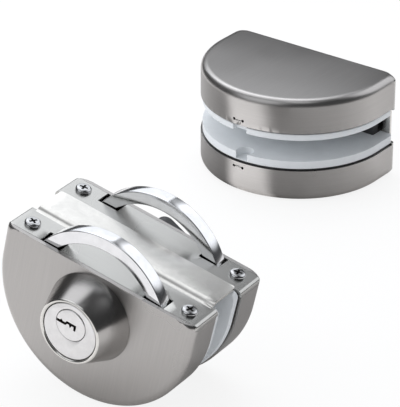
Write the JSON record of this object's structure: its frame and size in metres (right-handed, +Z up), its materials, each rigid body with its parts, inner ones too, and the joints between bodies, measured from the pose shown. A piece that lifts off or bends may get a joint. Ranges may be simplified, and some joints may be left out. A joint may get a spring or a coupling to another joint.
{
  "type": "glass door lock",
  "caption": "Clamp-on lock for glass doors: a D-shaped lock case with twin crescent bolts, key cylinder and thumb turn, and its matching D-shaped keeper.",
  "frame": {"origin": "the middle of the pair's bounding box, on the table that both units rest on", "axes": "+Z up; +Y through the lock case's thickness, from its key side to its thumb turn side; +X along the lock's meeting edge, which leans 13 degrees about Y"},
  "size_m": [0.1597, 0.3059, 0.0866],
  "materials": {
    "brushed_stainless": "fine straight brushing",
    "satin_plate": "satin, slightly shiny",
    "chrome": "polished",
    "pad_rubber": "smooth pale plastic",
    "die_cast": "dark grey zinc casting, painted",
    "zinc_steel": "zinc plated",
    "silver_face": "satin nickel",
    "brass": "turned",
    "spring_steel": "bare"
  },
  "bodies": {
    "lock_case": {"front_cover": "brushed_stainless", "rear_cover": "brushed_stainless", "bridge_plate": "satin_plate", "rear_edge_plate": "satin_plate", "front_base_plate": "zinc_steel", "rear_base_plate": "zinc_steel", "front_pad": "pad_rubber", "rear_pad": "pad_rubber", "glass_edge_bar": "die_cast", "edge_bar_screws": "zinc_steel", "front_corner_blocks": "die_cast", "rear_corner_blocks": "die_cast", "corner_block_screws": "zinc_steel", "edge_screws": "chrome", "clamp_screws": "zinc_steel", "cylinder_rosette": "brushed_stainless", "cylinder_rosette_screws": "zinc_steel", "cylinder_body": "silver_face", "cylinder_clip": "spring_steel", "driver_pins": "brass", "pin_springs": "spring_steel", "front_hub_bush": "brass", "rear_hub_bush": "brass", "thumb_turn_rosette": "brushed_stainless", "thumb_turn_rosette_screws": "zinc_steel", "detent_spring": "spring_steel"},
    "bolt_set": {"front_crescent_bolt": "chrome", "rear_crescent_bolt": "chrome", "front_bolt_arm": "zinc_steel", "rear_bolt_arm": "zinc_steel", "bolt_rivets": "zinc_steel", "spindle": "zinc_steel", "thumb_turn": "die_cast", "thumb_turn_screw": "zinc_steel"},
    "key_cylinder_plug": {"key_plug": "silver_face", "key_pins": "brass", "key_tailpiece": "zinc_steel"},
    "keeper": {"keeper_upper_cover": "brushed_stainless", "keeper_lower_cover": "brushed_stainless", "keeper_bridge_plate": "satin_plate", "keeper_lower_edge_plate": "satin_plate", "keeper_upper_base_plate": "zinc_steel", "keeper_lower_base_plate": "zinc_steel", "keeper_upper_pad": "pad_rubber", "keeper_lower_pad": "pad_rubber", "keeper_glass_edge_bar": "die_cast", "keeper_edge_bar_screws": "zinc_steel", "keeper_upper_corner_blocks": "die_cast", "keeper_lower_corner_blocks": "die_cast", "keeper_corner_block_screws": "zinc_steel", "keeper_edge_screws": "chrome", "keeper_clamp_screws": "zinc_steel", "keeper_strike_bars": "zinc_steel"}
  },
  "joints": [
    {"name": "bolt_turn", "type": "hinge", "parent": "lock_case", "child": "bolt_set", "pos_m": [0.02439, -0.1073, 0.04861], "axis": [0, 1, 0], "range_deg": [0, 180]},
    {"name": "key_turn", "type": "hinge", "parent": "lock_case", "child": "key_cylinder_plug", "pos_m": [0.02439, -0.1073, 0.04861], "axis": [0, 1, 0], "range_deg": [0, 180]},
    {"name": "keeper_placing", "type": "slide", "parent": "lock_case", "child": "keeper", "axis": [1, 0, 0], "range_m": [0, 0.08]}
  ],
  "couplings": [
    {"joint": "key_turn", "follows": "bolt_turn", "ratio": 1}
  ]
}
